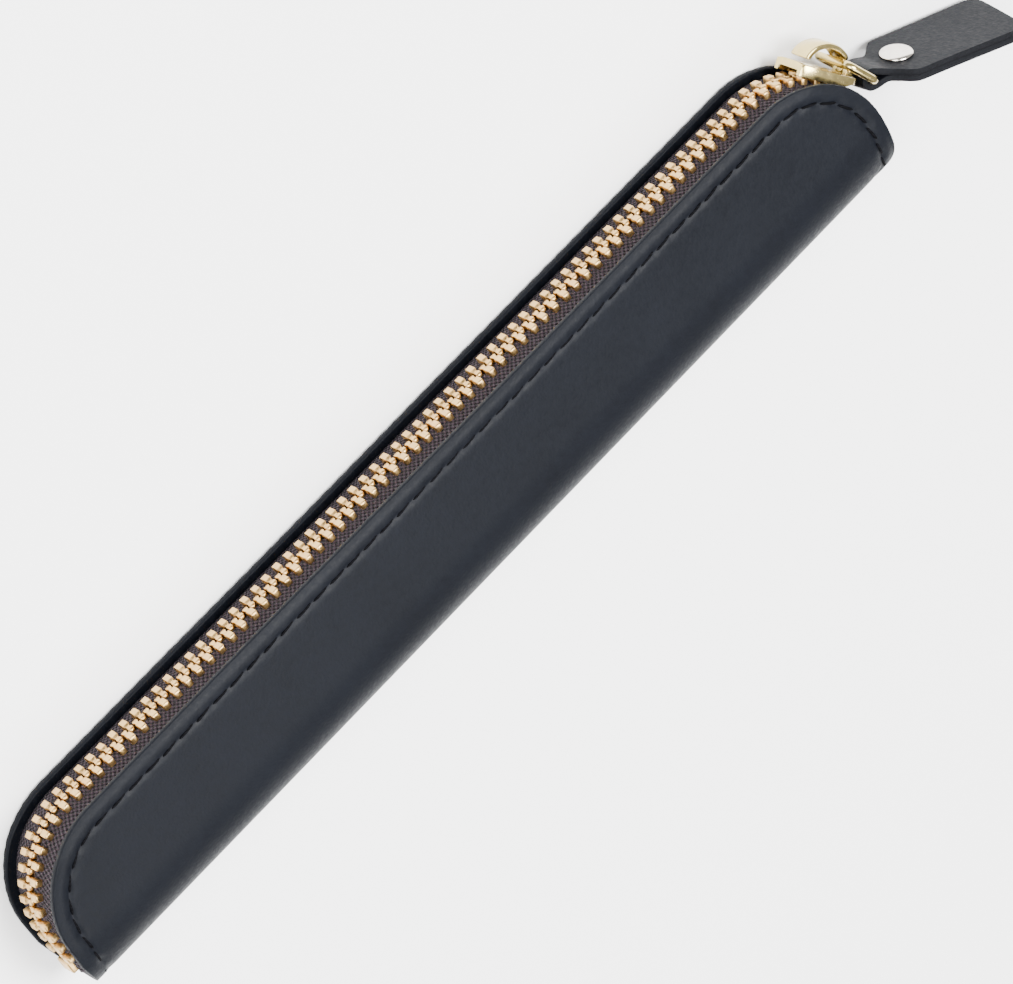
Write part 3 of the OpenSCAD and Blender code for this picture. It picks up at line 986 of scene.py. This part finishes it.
def round_pin():
    rings = []
    for z, r in ((-1.95, 0.25), (-1.88, 0.42), (-1.7, 0.45), (1.7, 0.45), (1.88, 0.42), (1.95, 0.25)):
        rings.append(from_slider([(LUG_X + r * math.cos(a), LUG_Y + r * math.sin(a), z)
                                  for a in around(24)]))
    return swept("bail_rivet", rings)


class PENCASE_OT_slider(bpy.types.Operator):
    """Casts the slider, its bail and the pin of the bail"""

    bl_idname = "pen_case.slider"
    bl_label = "Slider"

    def execute(self, context):
        casting, bail, pin = slider_casting(), bail_band(), round_pin()
        for piece in (casting, bail, pin):
            wear(piece, pale_gold())
        place_piece(casting, "slider", "slider_gold", "slider_body")
        place_piece(bail, "slider", "slider_gold", "slider_bail")
        place_piece(pin, "slider_carrier", "slider_gold", "bail_pin")
        return {"FINISHED"}


# ---------------------------------------------------------------- pull


def ring_frame(points):
    """Points of the ring's plane (x along the pull, y out, z across) as points of the case's frame."""
    return from_slider(turned_to(points, RING_X, RING_Y, -RING_DIP))


def wire_ring():
    """The oval ring: round wire bent round a rounded rectangle."""
    wire = mm("wire_d") / 2
    bend = 0.6 + wire
    half = RING_INNER_W / 2 + wire
    corners = [(RING_STEP - bend, half - bend, 0), (bend, half - bend, 90), (bend, bend - half, 180),
               (RING_STEP - bend, bend - half, 270)]
    middle = []
    for x, z, start in corners:
        for a in np.linspace(start, start + 90, 9):
            t = math.radians(a)
            middle.append((x + bend * math.cos(t), z + bend * math.sin(t), math.cos(t), math.sin(t)))
    rings = [ring_frame([(x + nx * wire * math.cos(b), wire * math.sin(b), z + nz * wire * math.cos(b))
                         for b in around(20)]) for x, z, nx, nz in middle]
    return swept("wire_ring", rings, closed=True)


STRAP_DROP = 24
STRAP_RISE = math.radians(PARK_ANGLE - STRAP_DROP)
PLY_GAP = 0.06
RIVET_AT = 8.0
RIVET_TURN = math.radians(8)
STRAP_TWIST = math.radians(2)
NECK_HALF = 3.3


def strap_turn(u):
    far = (u - RIVET_AT - 3) / (mm("strap_l") - RIVET_AT - 3)
    return RIVET_TURN * min(1, max(0, u / 4)) + STRAP_TWIST * math.sin(math.pi / 2 * min(1, max(0, far))) ** 2


def strap_half(u):
    part = min(1, max(0, (u - 3) / (RIVET_AT - 3)))
    return NECK_HALF + (mm("strap_w") / 2 - NECK_HALF) * math.sin(math.pi / 2 * part) ** 2


def strap_frame(points, turns=None):
    """Points of the strap's frame (x along it, y out of its face, z across), twisted along its length.

    A rigid piece on the strap gives the one turn that it all takes.
    """
    p = np.asarray(points, float).reshape(-1, 3)
    if turns is None:
        turns = np.array([strap_turn(u) for u in p[:, 0]])
    y = p[:, 1] * np.cos(turns) - p[:, 2] * np.sin(turns)
    z = p[:, 1] * np.sin(turns) + p[:, 2] * np.cos(turns)
    far_x = RING_X + RING_STEP * math.cos(RING_DIP)
    far_y = RING_Y - RING_STEP * math.sin(RING_DIP)
    return from_slider(turned_to(np.stack([p[:, 0], y, z], 1), far_x, far_y, STRAP_RISE))


def strap_sides(u):
    """How far the strap reaches to either side: square at one far corner, rounded at the other."""
    full = mm("strap_l")
    half = strap_half(u)
    cut = {}
    for side, r in ((1, 0.5), (-1, 2.6)):
        over = max(0.0, u - (full - r))
        cut[side] = r - math.sqrt(max(0.0, r * r - over * over))
    return -half + cut[-1], half - cut[1]


def leather_strap():
    """The strap: one strip of leather that goes out, round the ring's far wire and back."""
    ply = mm("strap_ply")
    full = mm("strap_l")
    wrap = mm("wire_d") / 2 + 0.1 + ply / 2
    flat = ply / 2 + PLY_GAP / 2
    middle = []
    ends = [full - d for d in (0, 0.06, 0.2, 0.45, 0.8, 1.3, 1.9, 2.6, 3.6)]
    for u in ends + list(np.arange(full - 4.8, 4.2, -1.0)):
        middle.append((u, flat))
    for u in np.linspace(4.0, 0.0, 9):
        t = 0.5 + 0.5 * math.cos(math.pi * u / 4.2)
        middle.append((u, flat + (wrap - flat) * t))
    for a in np.linspace(105, 180, 7):
        middle.append((wrap * math.cos(math.radians(a)), wrap * math.sin(math.radians(a))))
    route = middle + [(u, -v) for u, v in middle[::-1][1:]]
    route = np.array(route)
    ahead = np.gradient(route, axis=0)
    ahead /= np.maximum(np.linalg.norm(ahead, axis=1, keepdims=True), 1e-9)
    across = np.stack([ahead[:, 1], -ahead[:, 0]], 1)
    sections = []
    for (u, v), (nu, nv) in zip(route, across):
        low, high = strap_sides(max(u, 0))
        ring = []
        for share in np.linspace(0, 1, 13):
            crown = 0.06 * math.sin(math.pi * share)
            ring.append((u + nu * (ply / 2 + crown), v + nv * (ply / 2 + crown), low + (high - low) * share))
        for k in (0.25, 0, -0.25):
            ring.append((u + nu * ply * k, v + nv * ply * k, high + 0.22 * (1 - (2.4 * k) ** 2)))
        for share in np.linspace(1, 0, 13):
            ring.append((u - nu * ply / 2, v - nv * ply / 2, low + (high - low) * share))
        for k in (-0.25, 0, 0.25):
            ring.append((u + nu * ply * k, v + nv * ply * k, low - 0.22 * (1 - (2.4 * k) ** 2)))
        sections.append(strap_frame(ring))
    rings = np.array(sections)
    rows, columns = rings.shape[:2]
    faces = tube_faces(rows, columns)
    # the cut edge goes on the two narrow sides and the two ends
    slots = [int(12 <= k < 16 or k >= columns - 4) for k in range(columns)] * (rows - 1) + [1, 1]
    strap = new_piece("leather_strap", rings.reshape(-1, 3), faces)
    wear(strap, smooth_leather(), cut_edge())
    if len(strap.data.polygons) == len(slots):
        strap.data.polygons.foreach_set("material_index", slots)
    outward(strap)
    smooth_by_angle(strap, 50)
    return strap


def turned_on_rivet(name, profile):
    """A round piece on the rivet's axis from its profile of radius and height over the strap's middle."""
    rings = [strap_frame([(RIVET_AT + r * math.cos(a), y, r * math.sin(a)) for a in around(48)], RIVET_TURN)
             for r, y in profile]
    piece = swept(name, rings)
    smooth_by_angle(piece, 45)
    return piece


class PENCASE_OT_pull(bpy.types.Operator):
    """Makes the ring, the leather strap and its rivet"""

    bl_idname = "pen_case.pull"
    bl_label = "Pull"

    def execute(self, context):
        ring = wire_ring()
        wear(ring, pale_gold())
        place_piece(ring, "ring", "slider_gold", "pull_ring")
        strap = leather_strap()
        place_piece(strap, "pull", "leather", "strap")
        face = mm("strap_ply") + PLY_GAP
        cap = [(3.0 * math.sin(math.radians(a)), face + 0.28 + 0.72 * math.cos(math.radians(a)))
               for a in (1, 8, 16, 26, 36, 46, 56, 66, 76, 84, 90)]
        cap += [(3.02, face + 0.16), (2.93, face + 0.02), (2.6, face - 0.06), (0.4, face - 0.06)]
        back = [(1.1, face - 0.1), (1.1, -face + 0.1), (1.1, -face - 0.02), (2.4, -face - 0.02),
                (2.5, -face - 0.15), (2.5, -face - 0.42), (2.35, -face - 0.56), (1.2, -face - 0.6),
                (0.7, -face - 0.42), (0.1, -face - 0.4)]
        for name, profile, node in (("rivet_dome", cap, "rivet_cap"), ("rivet_back", back, "rivet_post")):
            piece = turned_on_rivet(name, profile)
            wear(piece, nickel())
            place_piece(piece, "pull", "rivet_nickel", node)
        return {"FINISHED"}


# ---------------------------------------------------------------- stage


def soft_light(name, where, aim, width, power):
    data = bpy.data.lights.new(name, "AREA")
    data.shape = "DISK"
    data.size = width
    data.energy = power
    light = placed(name, data)
    light.location = where
    light.rotation_mode = "QUATERNION"
    light.rotation_quaternion = (Vector(aim) - Vector(where)).to_track_quat("-Z", "Y")


def floor_piece():
    """Matt painted board."""
    mesh = bpy.data.meshes.new("floor")
    mesh.from_pydata([(-3, -3, 0), (3, -3, 0), (3, 3, 0), (-3, 3, 0)], [], [(0, 1, 2, 3)])
    floor = placed("floor", mesh)
    made, tree, shader = material("matt_white_board", Roughness=0.9)
    if tree:
        grit = noise(tree, object_place(tree), scale=0.4, detail=3)
        shade = mixed(tree, grit, tint("floor", 0.99), tint("floor", 1.01))
        tree.links.new(shade, shader.inputs["Base Color"])
    wear(floor, made)


class PENCASE_OT_stage(bpy.types.Operator):
    """Sets the floor, the lights and the camera"""

    bl_idname = "pen_case.stage"
    bl_label = "Stage"

    def execute(self, context):
        floor_piece()
        world = bpy.data.worlds.new("studio")
        bpy.context.scene.world = world
        world.use_nodes = True
        world.node_tree.nodes["Background"].inputs["Color"].default_value = (1, 1, 1, 1)
        world.node_tree.nodes["Background"].inputs["Strength"].default_value = 0.6
        soft_light("key", (-0.3, -0.12, 1.0), (0, 0, 0), 0.6, 36)
        soft_light("fill", (0.55, -0.45, 0.8), (0, 0, 0), 0.7, 20)
        soft_light("back", (0.15, 0.55, 1.0), (0, 0, 0), 0.7, 12)
        data = bpy.data.cameras.new("camera")
        data.lens = 245.7
        data.sensor_width = 36
        camera = placed("camera", data)
        azimuth, elevation, roll = math.radians(24.96), math.radians(51.29), math.radians(-114.2)
        away = Vector((math.sin(azimuth) * math.cos(elevation), -math.cos(azimuth) * math.cos(elevation),
                       math.sin(elevation)))
        target = Vector((-0.0095, 0.01257, 0.00618))
        level = (-away).to_track_quat("-Z", "Y").to_matrix()
        camera.rotation_mode = "QUATERNION"
        camera.rotation_quaternion = (level @ Matrix.Rotation(-roll, 3, "Z")).to_quaternion()
        camera.location = target + away * 1.163
        data.clip_start, data.clip_end = 0.05, 20
        bpy.context.scene.camera = camera
        return {"FINISHED"}


class PENCASE_PT_panel(bpy.types.Panel):
    """Lists the pieces of the pen case"""

    bl_idname = "PENCASE_PT_panel"
    bl_label = "Pen Case"
    bl_space_type = "VIEW_3D"
    bl_region_type = "UI"
    bl_category = "Pen Case"

    def draw(self, context):
        for operator in OPERATORS:
            self.layout.operator(operator.bl_idname)
        for group in (context.scene.pen_case_sizes, context.scene.pen_case_colours):
            for name in group.__annotations__:
                self.layout.prop(group, name)


OPERATORS = (PENCASE_OT_stage, PENCASE_OT_leather, PENCASE_OT_stitches, PENCASE_OT_tapes, PENCASE_OT_teeth,
             PENCASE_OT_slider, PENCASE_OT_pull)
CLASSES = (PENCASE_Sizes, PENCASE_Colours, *OPERATORS, PENCASE_PT_panel)


def register():
    for item in CLASSES:
        bpy.utils.register_class(item)
    bpy.types.Scene.pen_case_sizes = PointerProperty(type=PENCASE_Sizes)
    bpy.types.Scene.pen_case_colours = PointerProperty(type=PENCASE_Colours)


def unregister():
    del bpy.types.Scene.pen_case_colours
    del bpy.types.Scene.pen_case_sizes
    for item in reversed(CLASSES):
        bpy.utils.unregister_class(item)


def main():
    register()
    for operator in OPERATORS:
        group, name = operator.bl_idname.split(".")
        getattr(getattr(bpy.ops, group), name)()


if __name__ == "__main__":
    main()
